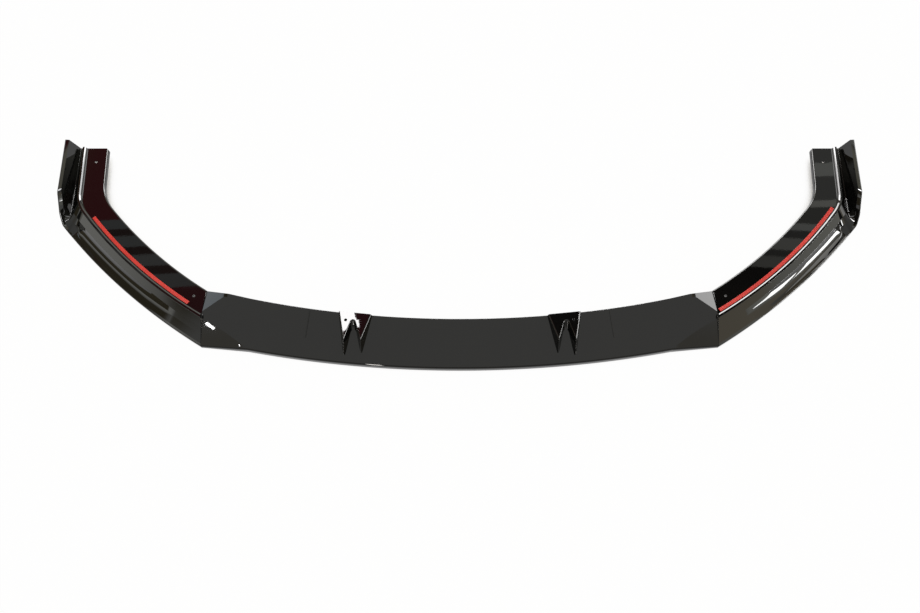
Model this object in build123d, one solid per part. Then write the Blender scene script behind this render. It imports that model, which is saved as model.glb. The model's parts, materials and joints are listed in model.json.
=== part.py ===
from build123d import *
import os
from math import cos, degrees, hypot, radians, sin, sqrt
from typing import NamedTuple

os.makedirs("parts", exist_ok=True)

# Driving sizes in millimetres. X runs across the car, Y towards its rear, Z up.
# Distances in plan are measured from the middle of the front edge.
depth = 529.0             # front edge to the rear ends of the wings
seam_x = 528.0            # middle of the lip to the seam with each wing
wall = 3.0                # thickness of the moulded skin
hole_diameter = 5.0       # every screw hole

# Centre panel
panel_depth = 97.0        # front edge to rear edge, along the middle
front_radius = 2330.0     # plan curve of the front edge
rear_radius = 2060.0      # plan curve of the rear edge
front_height = 13.0       # upper surface at the front edge
rear_height = 40.0        # upper surface at the rear edge
rear_return = 18.0        # depth of the turned-down rear edge
nose_radius = 5.0         # rounding of the front edge
rear_chamfer = 1.5        # on the rear edge

# Facets at the two front corners and the two rear corners of the panel
corner_x = 430.0          # where the front edge leaves its curve and runs straight
corner_y = 49.5           # front corner at the seam
corner_height = 7.0       # upper surface at the front corner
front_crease_y = 104.0    # where the front facet's crease meets the seam
dip_x = 475.0             # where the rear facet begins on the rear edge
dip_height = 26.0         # upper surface at the rear corner
rear_crease_y = 118.0     # where the rear facet's crease meets the seam

# Forked bosses on the panel
boss_x = 211.5            # middle of the lip to the middle of a boss
boss_rise = 6.5           # flat top above the panel's rear edge
boss_half_width = 33.0    # along the rear edge
prong_lean = 3.0          # the fork's middle line lies this much further out
prong_half_spread = 17.0  # from the fork's middle line to the point of a prong
prong_y = 48.0            # points of the prongs
notch_meet_y = 105.5      # where the notch's two sides would meet
notch_radius = 6.0
boss_draft = 14.0         # degrees, slope of the boss's sides
boss_set_back = 0.6       # the boss's rear face in front of the panel's
boss_rear_wall = 4.0
boss_hole_side = 17.7     # hole from the boss's middle line, on the outer side
boss_hole_inset = 18.0    # hole from the panel's rear edge

# Fine strakes on the panel
strake_x = 305.0          # rear end
strake_splay = 7.0        # how much further out the front end lies
strake_front_y = 63.0
strake_inset = 4.0        # rear end from the panel's rear edge
strake_width = 1.6
strake_height = 1.0

# Wing: flange and rib that follow the bumper
rib_y = 111.0             # rib at the seam
rib_heading = 30.5        # degrees, direction of the rib at the seam
rib_radius = 1170.0       # long curve of the rib
rib_length = 384.0        # of the long curve, from the seam
rib_bend_radius = 95.0    # tighter bend before the straight tail
tail_heading = 82.0       # degrees, direction of the rib's tail
flange_width = 48.0
flange_bend_radius = 120.0   # bend of the flange's inner edge
flange_height = 29.0      # upper face of the flange
flange_return = 10.0      # depth of the turned-down inner edge
flange_edge_radius = 3.0
rib_width = 7.0
rib_height = 6.0          # above the flange
rib_edge_radius = 1.2     # inner upper edge
rib_chamfer = 1.0         # outer upper edge

# Wing: blade and fin outside the rib
outer_heading = 30.6      # degrees, direction of the outer edge at the seam
outer_radius = 1560.0     # long curve of the outer edge
outer_length = 431.5      # of the long curve, from the seam
outer_bend_radius = 22.0  # corner between the blade and the fin
fin_heading = 82.9        # degrees, direction of the fin
fin_height = 61.0
fin_width = 10.5          # width of the fin's top
edge_chamfer = 1.5        # outer edge of the blade and the fin
brow_place = 0.62         # the brow's share of the way from the rib to the fold
scoop_start = 0.15        # where the scoop opens, as a share of the blade
seam_hole_at = 42.0       # hole in the flange, along the rib from the seam
tail_hole_inset = 38.0    # hole in the flange, from the wing's rear end

# Tongue of the panel under each wing's flange
tab_thickness = 3.0
tab_width = 20.0          # its end is round about the hole
tab_root = 22.0           # from the seam into the panel

# Adhesive tape on the flange, laid by hand and so not alike on both sides
tape_width = 7.5
tape_thickness = 1.2
tape_gap = 2.2            # tape to rib
right_tape = (9.0, 394.0)    # from and to, along the rib from the seam
left_tape = (41.0, 361.0)

# Construction values
lead = 100.0              # how far short of the seam the wing is drawn before trimming
overlap = 20.0            # how far a cutting body reaches past what it cuts
root = 4.0                # how deep the blade's skin starts inside the rib


class Skin(NamedTuple):
    # one cross-section of the blade or fin, seen along the rib
    shoulder: float       # height where the skin leaves the rib
    brow_rise: float      # how far the wall from the rib to the fold bulges
    fold: float           # hollow fold, distance in from the rim
    fold_height: float
    rim: float            # inner edge of the rim, distance from the outer edge
    rim_height: float
    edge_height: float


seam_skin = Skin(31.0, 0.0, 15.0, 17.2, 5.0, 10.0, corner_height)
scoop_skin = Skin(33.5, 6.5, 17.0, 8.5, 5.0, 8.0, 7.0)
ridge_skin = Skin(33.5, 0.0, 17.0, 17.0, 6.0, 12.0, 9.0)
fin_foot_skin = Skin(33.0, 0.0, 7.3, 17.0, 9.0, 33.0, 46.0)
fin_front_skin = Skin(32.5, 0.0, 7.7, 21.0, fin_width, fin_height - 2.0, fin_height)
fin_rear_skin = Skin(33.5, 0.0, 11.5, 29.5, fin_width, fin_height - 1.0, fin_height)

# Where those sections lie, along the rib and along the outer edge
seam_at = (0.0, 31.0)     # from the seam, square across the wing
scoop_at = (-6.0, -16.0)  # from the start of the bends, as those below
ridge_at = (13.0, -4.0)
corner_at = (28.0, 9.0)   # halfway up from the ridge to the foot of the fin
fin_foot_at = (44.0, 28.0)
fin_front_at = (71.0, 72.0)


# Centre panel

def front_y(x):
    return front_radius - sqrt(front_radius**2 - x**2)


def rear_y(x):
    return panel_depth + rear_radius - sqrt(rear_radius**2 - x**2)


def panel_height(y, front, rear):
    return front_height + (rear_height - front_height) * (y - front) / (rear - front)


def panel_section(x, front, inset):
    # slice of the panel's outer form, or of its square-cornered hollow when inset is the wall
    rear = rear_y(x)
    drop = inset * hypot(1, (rear_height - front_height) / (rear - front))
    inner_front = front + inset
    inner_rear = rear - inset

    def top(y):
        return (y, panel_height(y, front, rear) - drop)

    if inset > 0:
        outline = Polyline(
            (inner_front, -overlap),
            top(inner_front),
            top(inner_rear),
            (inner_rear, -overlap),
            close=True,
        )
    else:
        outline = FilletPolyline(
            (inner_front, -overlap),
            top(inner_front),
            top(inner_rear - rear_chamfer),
            (inner_rear, top(inner_rear)[1] - rear_chamfer),
            (inner_rear, rear_height - rear_return),
            radius=[0, nose_radius, 0, 0, 0],
            close=True,
        )
    return Plane.YZ.offset(x) * make_face(outline)


def facet_cut(a, b, c, inset):
    # everything above the plane through three points, lowered by the inset
    points = [Vector(*p) for p in (a, b, c)]
    normal = (points[1] - points[0]).cross(points[2] - points[0]).normalized()
    if normal.Z < 0:
        normal = -normal
    plane = Plane(points[0] - normal * inset, z_dir=normal)
    reach = 2 * (seam_x - corner_x) + rear_y(seam_x)
    return plane * Box(reach, reach, reach, align=(Align.CENTER, Align.CENTER, Align.MIN))


def panel_form(inset):
    steps = [-corner_x, -corner_x / 2, 0, corner_x / 2, corner_x]
    form = loft([panel_section(x, front_y(x), inset) for x in steps])
    end = loft(
        [
            panel_section(corner_x, front_y(corner_x), inset),
            panel_section(seam_x, corner_y, inset),
        ],
        ruled=True,
    )
    rear = rear_y(seam_x)
    end -= facet_cut(
        (corner_x, front_y(corner_x), front_height),
        (seam_x, front_crease_y, panel_height(front_crease_y, corner_y, rear)),
        (seam_x, corner_y, corner_height),
        inset,
    )
    end -= facet_cut(
        (dip_x, rear_y(dip_x), rear_height),
        (seam_x, rear_crease_y, panel_height(rear_crease_y, corner_y, rear)),
        (seam_x, rear, dip_height),
        inset,
    )
    return form + end + mirror(end, about=Plane.YZ)


def boss(inset, set_back):
    # forked boss whose drafted sides run out into two pointed prongs, or the hollow under it
    top = rear_height + boss_rise - inset
    fork_x = boss_x + prong_lean
    outline = FilletPolyline(
        (boss_x - boss_half_width, rear_y(boss_x - boss_half_width)),
        (fork_x - prong_half_spread, prong_y),
        (fork_x, notch_meet_y),
        (fork_x + prong_half_spread, prong_y),
        (boss_x + boss_half_width, rear_y(boss_x + boss_half_width)),
        radius=[0, 0, notch_radius, 0, 0],
        close=True,
    )
    face = make_face(outline)
    if inset > 0:
        face = offset(face, -inset)
    face = Plane.XY.offset(top) * face
    body = extrude(face, amount=top - front_height, dir=(0, 0, -1), taper=-boss_draft)
    behind = loft([behind_boss(boss_x + side * boss_half_width, set_back) for side in (-2, 0, 2)])
    under_wall = Pos(boss_x, rear_y(boss_x), rear_height - rear_return) * Box(
        4 * boss_half_width, 2 * overlap, rear_height, align=(Align.CENTER, Align.CENTER, Align.MAX)
    )
    return body - behind - under_wall


def behind_boss(x, set_back):
    # slice of the space behind a line that follows the panel's rear edge
    middle = Pos(rear_y(x) - set_back + overlap, rear_height)
    return Plane.YZ.offset(x) * middle * Rectangle(2 * overlap, 2 * rear_height + 2 * overlap)


def strake():
    rear = rear_y(strake_x) - strake_inset
    start = Vector(strake_x, rear)
    end = Vector(strake_x + strake_splay, strake_front_y)
    middle = (start + end) / 2
    plane = Plane((middle.X, middle.Y, 0), x_dir=end - start, z_dir=(0, 0, 1))
    strip = Rectangle((end - start).length, strake_width)
    return extrude(plane * strip, amount=rear_height + overlap)


def tab():
    # tongue that points along the wing, with a solid root under the panel's skin
    hole = flange_point(seam_hole_at)
    along_wing = rib_rail.tangent_at(lead + seam_hole_at, position_mode=PositionMode.LENGTH)
    length = (hole.X - seam_x + tab_root) / along_wing.X
    low = flange_height - wall - tab_thickness
    plan = Plane((hole.X, hole.Y, low), x_dir=along_wing, z_dir=(0, 0, 1))
    strip = Pos(-length / 2) * Rectangle(length, tab_width) + Circle(tab_width / 2)
    plate = extrude(plan * strip, amount=tab_thickness)
    block = extrude(plan * strip, amount=rear_height)
    return plate + (block & panel_form(wall / 2))


def drill(x, y):
    return Pos(x, y, 0) * Cylinder(hole_diameter / 2, 4 * fin_height)


def above_ground(body):
    # level lower edge that the lip rests on
    return body - Box(8 * seam_x, 8 * depth, 2 * overlap, align=(Align.CENTER, Align.CENTER, Align.MAX))


def both_sides(body):
    return body + mirror(body, about=Plane.YZ)


def centre_panel():
    ridges = both_sides(strake()) & panel_form(-strake_height)
    outer = panel_form(0) + both_sides(boss(0, boss_set_back)) + ridges
    hollow = panel_form(wall) + both_sides(boss(wall, boss_set_back + boss_rear_wall))
    shell = outer - hollow + both_sides(tab())
    hole_x = boss_x + boss_hole_side
    shell -= both_sides(drill(hole_x, rear_y(hole_x) - boss_hole_inset))
    tab_hole = flange_point(seam_hole_at)
    return above_ground(shell - both_sides(drill(tab_hole.X, tab_hole.Y)))


# Wings

def inwards(heading):
    # unit direction across a rail, towards the middle of the car
    return Vector(-sin(radians(heading)), cos(radians(heading)))


def rail(start, heading, radius, length, bend_radius, end_heading):
    # long curve from short of the seam, a bend, and a straight tail past the rear end
    early = degrees(lead / radius)
    sweep = degrees(length / radius)
    curve = CenterArc(start + inwards(heading) * radius, radius, heading - 90 - early, early + sweep)
    bend = JernArc(curve @ 1, curve % 1, bend_radius, end_heading - heading - sweep)
    rest = (depth + overlap - (bend @ 1).Y) / sin(radians(end_heading))
    tail = Line(bend @ 1, bend @ 1 + (bend % 1) * rest)
    return Wire(curve.edges() + bend.edges() + tail.edges())


rib_start = Vector(seam_x, rib_y)
rib_rail = rail(rib_start, rib_heading, rib_radius, rib_length, rib_bend_radius, tail_heading)
outer_rail = rail(
    Vector(seam_x, corner_y), outer_heading, outer_radius, outer_length, outer_bend_radius, fin_heading
)
rib_bend = lead + rib_length
outer_bend = lead + outer_length


def inner_length():
    # long curve of the flange's inner edge, up to a bend that leads it back beside the rib's tail
    to_seam = -inwards(rib_heading)
    centre = rib_start - to_seam * rib_radius
    tail = rib_rail % 1
    beside = rib_rail @ 1 + inwards(tail_heading) * (flange_width + flange_bend_radius) - centre
    reach = rib_radius - flange_width - flange_bend_radius
    back = beside.dot(tail) + sqrt(beside.dot(tail) ** 2 - beside.dot(beside) + reach**2)
    turned = to_seam.get_angle(beside - tail * back)
    return radians(turned) * (rib_radius - flange_width)


inner_rail = rail(
    rib_start + inwards(rib_heading) * flange_width,
    rib_heading,
    rib_radius - flange_width,
    inner_length(),
    flange_bend_radius,
    tail_heading,
)


def along(wire, distance):
    return wire.position_at(distance, position_mode=PositionMode.LENGTH)


def across(wire, distance):
    # plane across a rail, local x outwards and local y up
    tangent = wire.tangent_at(distance, position_mode=PositionMode.LENGTH)
    return Plane(along(wire, distance), x_dir=tangent.cross(Vector(0, 0, 1)), z_dir=-tangent)


def flange_point(distance):
    # middle of the flange, at a distance along the rib from the seam
    return across(rib_rail, lead + distance).from_local_coords(Vector(-flange_width / 2, 0, 0))


def flange():
    # plate with the rib along its outer edge, and a turned-down lip along its inner edge
    low = flange_height - wall
    top = flange_height + rib_height
    plate = FilletPolyline(
        (-3 * flange_width / 4, flange_height),
        (0, flange_height),
        (0, top),
        (rib_width - rib_chamfer, top),
        (rib_width, top - rib_chamfer),
        (rib_width, low),
        (-3 * flange_width / 4, low),
        radius=[0, 0, rib_edge_radius, 0, 0, 0, 0],
        close=True,
    )
    lip = FilletPolyline(
        (0, flange_height - flange_return),
        (0, flange_height),
        (flange_width / 2, flange_height),
        (flange_width / 2, low),
        (wall, low),
        (wall, flange_height - flange_return),
        radius=[0, flange_edge_radius, 0, 0, 0, 0],
        close=True,
    )
    outer_part = sweep(across(rib_rail, 0) * make_face(plate), path=rib_rail)
    return outer_part + sweep(across(inner_rail, 0) * make_face(lip), path=inner_rail)


def inside(points):
    # the same run of points, one wall thickness inside the skin
    sides = [(b - a).normalized() for a, b in zip(points, points[1:])]
    inward = [Vector(side.Y, -side.X) for side in sides]
    shifted = [points[0] + inward[0] * wall]
    for point, a, b in zip(points[1:], inward, inward[1:]):
        shifted.append(point + (a + b) * (wall / (1 + a.dot(b))))
    shifted.append(points[-1] + inward[-1] * wall)
    return shifted


def skin_section(skin, rib_at, outer_at):
    # closed slice of the skin in the upright plane from the rib to the outer edge
    start = along(rib_rail, rib_at)
    reach = along(outer_rail, outer_at) - start
    width = reach.length
    shoulder = Vector(root, skin.shoulder)
    rim = Vector(width - skin.rim, skin.rim_height)
    edge = Vector(width, skin.edge_height)
    fold = Vector(rim.X - skin.fold, skin.fold_height)
    brow = shoulder + (fold - shoulder) * brow_place + Vector(0, skin.brow_rise)
    outer = [shoulder, brow, fold, rim, edge, Vector(width, -overlap)]
    inner = inside(outer)
    outer[4:5] = [edge + (rim - edge).normalized() * edge_chamfer, edge - Vector(0, edge_chamfer)]
    plane = Plane(start, x_dir=reach, z_dir=reach.cross(Vector(0, 0, 1)))
    return plane * make_face(Polyline(*outer, *inner[::-1], close=True))


def blade_section(share):
    # the scoop opens some way along the blade, and soon comes near its full depth
    rest = min((1 - share) / (1 - scoop_start), 1)
    growth = 1 - rest**3
    skin = Skin(*(a + (b - a) * growth for a, b in zip(seam_skin, scoop_skin)))
    rib_at = lead + seam_at[0] + (rib_length + scoop_at[0] - seam_at[0]) * share
    outer_at = lead + seam_at[1] + (outer_length + scoop_at[1] - seam_at[1]) * share
    return skin_section(skin, rib_at, outer_at)


def bend_section(skin, place):
    return skin_section(skin, rib_bend + place[0], outer_bend + place[1])


def wing():
    plain = [blade_section(scoop_start * step / 5) for step in (-7, -3, 1, 5)]
    scoop = [blade_section(scoop_start + (1 - scoop_start) * step / 5) for step in range(6)]
    ridge = bend_section(ridge_skin, ridge_at)
    halfway_skin = Skin(*((a + b) / 2 for a, b in zip(ridge_skin, fin_foot_skin)))
    corner = bend_section(halfway_skin, corner_at)
    fin_foot = bend_section(fin_foot_skin, fin_foot_at)
    fin_front = bend_section(fin_front_skin, fin_front_at)
    fin_rear = skin_section(fin_rear_skin, rib_rail.length, outer_rail.length)
    body = flange() + loft(plain) + loft(scoop)
    body += loft([scoop[-1], ridge], ruled=True)
    body += loft([ridge, corner, fin_foot, fin_front], ruled=True)
    body += loft([fin_front, fin_rear], ruled=True)
    body &= Pos(seam_x, 0, 0) * Box(seam_x, depth, 2 * fin_height, align=(Align.MIN, Align.MIN, Align.MIN))
    seam_hole = flange_point(seam_hole_at)
    tail_hole = flange_point(tail_hole_along())
    return body - drill(seam_hole.X, seam_hole.Y) - drill(tail_hole.X, tail_hole.Y)


def tail_hole_along():
    # distance along the rib at which the flange's middle lies short of the rear end
    end = rib_rail.length - lead
    return end - (flange_point(end).Y - depth + tail_hole_inset) / sin(radians(tail_heading))


def tape(span):
    start, end = ((lead + distance) / rib_rail.length for distance in span)
    path = rib_rail.trim(start, end)
    strip = Pos(-tape_gap - tape_width / 2, flange_height + tape_thickness / 2)
    section = across(rib_rail, lead + span[0]) * strip * Rectangle(tape_width, tape_thickness)
    return sweep(section, path=path)


right_wing = wing()
nodes = {
    "centre_panel": centre_panel(),
    "right_wing": right_wing,
    "left_wing": mirror(right_wing, about=Plane.YZ),
    "right_adhesive_tape": tape(right_tape),
    "left_adhesive_tape": mirror(tape(left_tape), about=Plane.YZ),
}
to_origin = Pos(0, -depth / 2, 0)
for name, body in nodes.items():
    export_step(to_origin * body, f"parts/{name}.step")
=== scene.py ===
import bpy
import bmesh
import json
import math
from mathutils import Matrix, Vector


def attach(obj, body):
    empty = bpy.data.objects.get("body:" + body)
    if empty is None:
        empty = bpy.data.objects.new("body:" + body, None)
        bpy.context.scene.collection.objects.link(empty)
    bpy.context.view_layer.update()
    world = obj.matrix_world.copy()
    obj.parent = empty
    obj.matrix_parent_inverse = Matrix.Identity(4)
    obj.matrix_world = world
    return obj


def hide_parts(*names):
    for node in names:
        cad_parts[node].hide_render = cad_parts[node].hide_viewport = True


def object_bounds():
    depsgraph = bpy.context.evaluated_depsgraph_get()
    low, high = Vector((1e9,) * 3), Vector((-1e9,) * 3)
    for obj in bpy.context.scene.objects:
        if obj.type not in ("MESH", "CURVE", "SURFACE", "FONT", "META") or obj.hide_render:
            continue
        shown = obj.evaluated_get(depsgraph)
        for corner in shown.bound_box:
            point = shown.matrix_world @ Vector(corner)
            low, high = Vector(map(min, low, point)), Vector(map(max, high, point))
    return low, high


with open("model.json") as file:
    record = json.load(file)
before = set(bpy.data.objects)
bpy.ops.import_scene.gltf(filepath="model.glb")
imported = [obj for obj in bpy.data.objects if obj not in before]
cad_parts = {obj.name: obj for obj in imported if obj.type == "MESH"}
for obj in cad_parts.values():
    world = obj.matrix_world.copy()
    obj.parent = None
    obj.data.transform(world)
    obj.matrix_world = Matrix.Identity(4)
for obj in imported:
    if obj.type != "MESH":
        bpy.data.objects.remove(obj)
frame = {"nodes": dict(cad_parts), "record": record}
cadLow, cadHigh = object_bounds()
scene = bpy.context.scene
scene.view_settings.view_transform = "Standard"
mm = 0.001
frontEdge = cadLow.y  # middle of the panel's front edge
rearEnd = cadHigh.y  # rear ends of the wings
up = Vector((0, 0, 1))
print("frame loaded:", ", ".join(sorted(frame["nodes"])))


# Shader arithmetic

class Wire:
    # a node socket that can stand in a Python expression
    def __init__(self, tree, socket=None):
        self.tree = tree
        self.socket = socket

    def make(self, kind, settings=None, output=0, **inputs):
        # settings are set first; inputs go by name, or by number as i0, i1 and so on
        node = self.tree.nodes.new(kind)
        for name, value in (settings or {}).items():
            if name == "stops":
                ramp = node.color_ramp.elements
                while len(ramp) < len(value):
                    ramp.new(1.0)
                for stop, (place, colour) in zip(ramp, value):
                    stop.position = place
                    stop.color = (*colour, 1.0)
            else:
                setattr(node, name, value)
        for name, value in inputs.items():
            key = int(name[1:]) if name[1:].isdigit() else name.replace("_", " ")
            self.feed(node.inputs[key], value)
        return Wire(self.tree, None if output is None else node.outputs[output])

    def feed(self, target, value):
        if isinstance(value, Wire):
            self.tree.links.new(value.socket, target)
        elif isinstance(value, tuple) and len(value) == 3 and len(target.default_value) == 4:
            target.default_value = (*value, 1.0)
        else:
            target.default_value = value

    def sums(self, operation, first, second=0.0, third=0.0):
        return self.make("ShaderNodeMath", {"operation": operation}, i0=first, i1=second, i2=third)

    def __add__(self, other):
        return self.sums("ADD", self, other)

    def __radd__(self, other):
        return self.sums("ADD", other, self)

    def __sub__(self, other):
        return self.sums("SUBTRACT", self, other)

    def __rsub__(self, other):
        return self.sums("SUBTRACT", other, self)

    def __mul__(self, other):
        return self.sums("MULTIPLY", self, other)

    def __rmul__(self, other):
        return self.sums("MULTIPLY", other, self)

    def __truediv__(self, other):
        return self.sums("DIVIDE", self, other)

    def __rtruediv__(self, other):
        return self.sums("DIVIDE", other, self)

    def ramp(self, low, high):
        # 0 at low, 1 at high, with a smooth step between them
        settings = {"interpolation_type": "SMOOTHSTEP"}
        return self.make("ShaderNodeMapRange", settings, i0=self, i1=low, i2=high, i3=0.0, i4=1.0)

    def blend(self, first, second):
        # colour mix with this value as its factor
        settings = {"data_type": "RGBA"}
        return self.make("ShaderNodeMix", settings, 2, i0=self, i6=first, i7=second)


def newMaterial(name):
    material = bpy.data.materials.new(name)
    material.use_nodes = True
    tree = material.node_tree
    shader = tree.nodes["Principled BSDF"]
    return material, Wire(tree), shader


# Materials

glossBlack = {
    "colour": (0.0045, 0.0045, 0.0044),
    "dustColour": (0.024, 0.023, 0.021),
    "roughness": 0.015,
    "smudgeRoughness": 0.05,
    "dustRoughness": 0.1,
    "smudgeScale": 9.0,
    "wipeScale": (14.0, 90.0, 90.0),  # cloth marks, drawn out across the car
    "dustScale": 420.0,
    "peelScale": 240.0,       # faint ripple of the moulding
    "peelHeight": 0.00002,
    "peelStrength": 0.15,
    "ior": 1.5,
}


def glossBlackMaterial():
    material, wire, shader = newMaterial("moulded_gloss_black")
    spot = wire.make("ShaderNodeTexCoord", output=3)
    drawnOut = wire.make("ShaderNodeMapping", i0=spot, i3=glossBlack["wipeScale"])
    smudge = wire.make("ShaderNodeTexNoise", Vector=spot, Scale=glossBlack["smudgeScale"], Detail=5.0,
                       Roughness=0.62)
    wipe = wire.make("ShaderNodeTexNoise", Vector=drawnOut, Scale=1.0, Detail=4.0)
    speck = wire.make("ShaderNodeTexVoronoi", Vector=spot, Scale=glossBlack["dustScale"])
    dust = (1.0 - speck.ramp(0.02, 0.09)) * smudge.ramp(0.52, 0.72)  # specks in the smudged places
    film = smudge.ramp(0.45, 0.75) * 0.6 + wipe.ramp(0.5, 0.8) * 0.4
    colour = (dust * 0.5 + film * 0.06).blend(glossBlack["colour"], glossBlack["dustColour"])
    span = glossBlack["smudgeRoughness"] - glossBlack["roughness"]
    roughness = film * span + dust * glossBlack["dustRoughness"] + glossBlack["roughness"]
    wire.feed(shader.inputs["Base Color"], colour)
    wire.feed(shader.inputs["Roughness"], roughness)
    peel = wire.make("ShaderNodeTexNoise", Vector=spot, Scale=glossBlack["peelScale"], Detail=1.0)
    bump = wire.make("ShaderNodeBump", Strength=glossBlack["peelStrength"],
                     Distance=glossBlack["peelHeight"], Height=peel)
    wire.feed(shader.inputs["Normal"], bump)
    shader.inputs["IOR"].default_value = glossBlack["ior"]
    return material


redLiner = {
    "colour": (0.82, 0.042, 0.028),
    # painted light: the first tone below is a painted highlight on the swells of the foam, the second a
    # painted shade in its dips
    "paintedSwellLight": (0.88, 0.060, 0.042),
    "paintedDipShade": (0.66, 0.030, 0.022),
    "roughness": 0.38,
    "roughnessSpan": 0.2,
    "specular": 0.25,
    "broadScale": 28.0,       # unevenness of the foam below
    "fineScale": 900.0,       # grain of the film
    "bumpHeight": 0.0004,
    "bumpStrength": 0.4,
}


def redLinerMaterial():
    material, wire, shader = newMaterial("red_release_liner")
    spot = wire.make("ShaderNodeTexCoord", output=3)
    broad = wire.make("ShaderNodeTexNoise", Vector=spot, Scale=redLiner["broadScale"], Detail=3.0)
    fine = wire.make("ShaderNodeTexNoise", Vector=spot, Scale=redLiner["fineScale"], Detail=2.0)
    # lighter on the swells and darker in the dips, following the noise that drives the bump: painted
    # highlight and painted shade
    colour = broad.ramp(0.45, 0.75).blend(redLiner["colour"], redLiner["paintedSwellLight"])
    colour = (broad.ramp(0.5, 0.25) * 0.5).blend(colour, redLiner["paintedDipShade"])
    span = redLiner["roughnessSpan"]
    wire.feed(shader.inputs["Base Color"], colour)
    wire.feed(shader.inputs["Roughness"], fine * span + (redLiner["roughness"] - span / 2))
    shader.inputs["Specular IOR Level"].default_value = redLiner["specular"]
    height = broad * 0.7 + fine * 0.012  # broad swell with a trace of grain
    bump = wire.make("ShaderNodeBump", Strength=redLiner["bumpStrength"], Distance=redLiner["bumpHeight"],
                     Height=height)
    wire.feed(shader.inputs["Normal"], bump)
    return material


black = glossBlackMaterial()
red = redLinerMaterial()
print("materials made")


# Meshes: sizes below are in millimetres, from the middle of the front edge

meshCare = {
    "trim": 1e-7,             # in metres, for a point on a trimming plane
    "join": 2e-6,             # for points that are one, after trimming
    "merge": 0.01 * mm,       # and after a cut
    "sliver": 0.005 * mm,
    "sharpAngle": 38.0,
    "mostTurn": 2.7,          # of a rounding, in radians
    "leastReach": 0.15,       # along its edges
    "edgeShare": 0.45,        # of each edge at most
}


def toFrame(x, y, z, side=1):
    return Vector((side * x * mm, y * mm + frontEdge, z * mm))


def roundedRing(corners):
    # closed ring of points, each corner given as (point, radius, steps of its rounding) and, if need
    # be, the largest share of its two edges that the rounding may take; with no steps it is one point,
    # and with no radius it is sharp, between two supports
    ring = []
    for i, (point, radius, count, *most) in enumerate(corners):
        if not count:
            ring.append(point)
            continue
        back = corners[i - 1][0] - point
        ahead = corners[(i + 1) % len(corners)][0] - point
        turn = math.pi - back.angle(ahead, math.pi)
        reach = max(radius * math.tan(min(turn, meshCare["mostTurn"]) / 2), meshCare["leastReach"])
        share = most[0] if most else meshCare["edgeShare"]
        reach = min(reach, share * back.length, share * ahead.length)
        first = point + back.normalized() * reach
        last = point + ahead.normalized() * reach
        if not radius:
            ring += [first, point, last]
            continue
        pull = math.cos(turn / 2)
        for step in range(count + 1):
            t = step / count
            a, b, c = (1 - t) ** 2, 2 * pull * t * (1 - t), t * t  # weights that give a round arc
            ring.append((first * a + point * b + last * c) / (a + b + c))
    return ring


def skinOver(bm, rings, side=1):
    # faces over a row of closed rings that have the same number of points
    rows = [[bm.verts.new(toFrame(*point, side)) for point in ring] for ring in rings]
    for row, following in zip(rows, rows[1:]):
        for i in range(len(row)):
            bm.faces.new((row[i - 1], row[i], following[i], following[i - 1]))
    return rows


def meshFromRings(name, rings, cuts=(), side=1):
    # skin over the rings, trimmed by planes and closed at both ends
    bm = bmesh.new()
    skinOver(bm, rings, side)
    for place, outwards in cuts:
        everything = bm.verts[:] + bm.edges[:] + bm.faces[:]
        bmesh.ops.bisect_plane(bm, geom=everything, dist=meshCare["trim"], plane_co=place,
                               plane_no=outwards, clear_outer=True)
    bmesh.ops.remove_doubles(bm, verts=bm.verts[:], dist=meshCare["join"])
    bmesh.ops.holes_fill(bm, edges=[edge for edge in bm.edges if edge.is_boundary], sides=0)
    bmesh.ops.recalc_face_normals(bm, faces=bm.faces[:])
    return pieceFrom(name, bm)


def pieceFrom(name, bm):
    mesh = bpy.data.meshes.new(name)
    bm.to_mesh(mesh)
    bm.free()
    piece = bpy.data.objects.new(name, mesh)
    scene.collection.objects.link(piece)
    return piece


def prism(name, outlines):
    # closed body between two or more outlines, with one face at each end
    bm = bmesh.new()
    rows = skinOver(bm, outlines)
    bm.faces.new(rows[0])
    bm.faces.new(rows[-1])
    bmesh.ops.recalc_face_normals(bm, faces=bm.faces[:])
    return pieceFrom(name, bm)


def upright(name, plan, heights, side):
    # prism with one plan from the lower to the upper height
    return prism(name, [[(side * spot.x, spot.y, z) for spot in plan] for z in heights])


def carve(piece, tools):
    # joins or cuts each (tool, operation) in turn, then drops the tool
    for tool, operation in tools:
        step = piece.modifiers.new("carve", "BOOLEAN")
        step.object = tool
        step.operation = operation
        step.solver = "EXACT"
        shaped = piece.evaluated_get(bpy.context.evaluated_depsgraph_get())
        mesh = bpy.data.meshes.new_from_object(shaped)
        piece.modifiers.clear()
        piece.data = mesh
        mergeDoubles(mesh)
        bpy.data.objects.remove(tool)


def mergeDoubles(mesh):
    bm = bmesh.new()
    bm.from_mesh(mesh)
    bmesh.ops.remove_doubles(bm, verts=bm.verts[:], dist=meshCare["merge"])
    bmesh.ops.dissolve_degenerate(bm, edges=bm.edges[:], dist=meshCare["sliver"])
    bm.to_mesh(mesh)
    bm.free()


def finishPiece(piece, node, material):
    mergeDoubles(piece.data)
    piece.data.materials.clear()
    piece.data.materials.append(material)
    piece.data.shade_smooth()
    piece.data.set_sharp_from_angle(angle=math.radians(meshCare["sharpAngle"]))
    even = piece.modifiers.new("even_normals", "WEIGHTED_NORMAL")
    even.keep_sharp = True
    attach(piece, "root")
    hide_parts(node)
    print(piece.name, "has", len(piece.data.polygons), "faces")


def steps(first, last, size):
    # even places from first on, about one size apart, without the last
    count = max(1, round((last - first) / size))
    return [first + (last - first) * i / count for i in range(count)]


def between(value, fromStops, toStops):
    # straight-line reading between matching stops, carried on past both ends
    last = len(fromStops) - 2
    i = next((i for i in range(last) if value < fromStops[i + 1]), last)
    share = (value - fromStops[i]) / (fromStops[i + 1] - fromStops[i])
    return toStops[i] + (toStops[i + 1] - toStops[i]) * share


# Screw holes

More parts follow.
